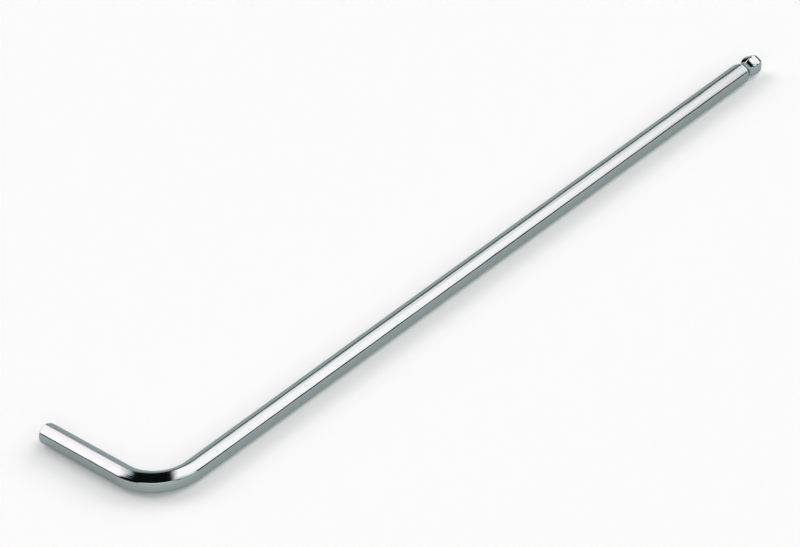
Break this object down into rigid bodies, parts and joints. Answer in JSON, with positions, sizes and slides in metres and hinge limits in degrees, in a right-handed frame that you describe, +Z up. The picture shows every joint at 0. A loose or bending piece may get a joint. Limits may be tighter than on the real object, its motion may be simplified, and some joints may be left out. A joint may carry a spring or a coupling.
{
  "type": "hex key",
  "caption": "L-shaped hexagonal steel key with a ball end on the long arm and a plain chamfered end on the short arm.",
  "frame": {"origin": "middle of the footprint's box, on the surface that the key lies on", "axes": "+X along the long arm towards its ball end, +Y along the short arm towards its plain end, +Z up from the surface"},
  "size_m": [0.1146, 0.0206, 0.0028],
  "materials": {
    "plated_steel": "bright plated, drawn flats"
  },
  "bodies": {
    "root": {"hex_key": "plated_steel"}
  },
  "joints": []
}
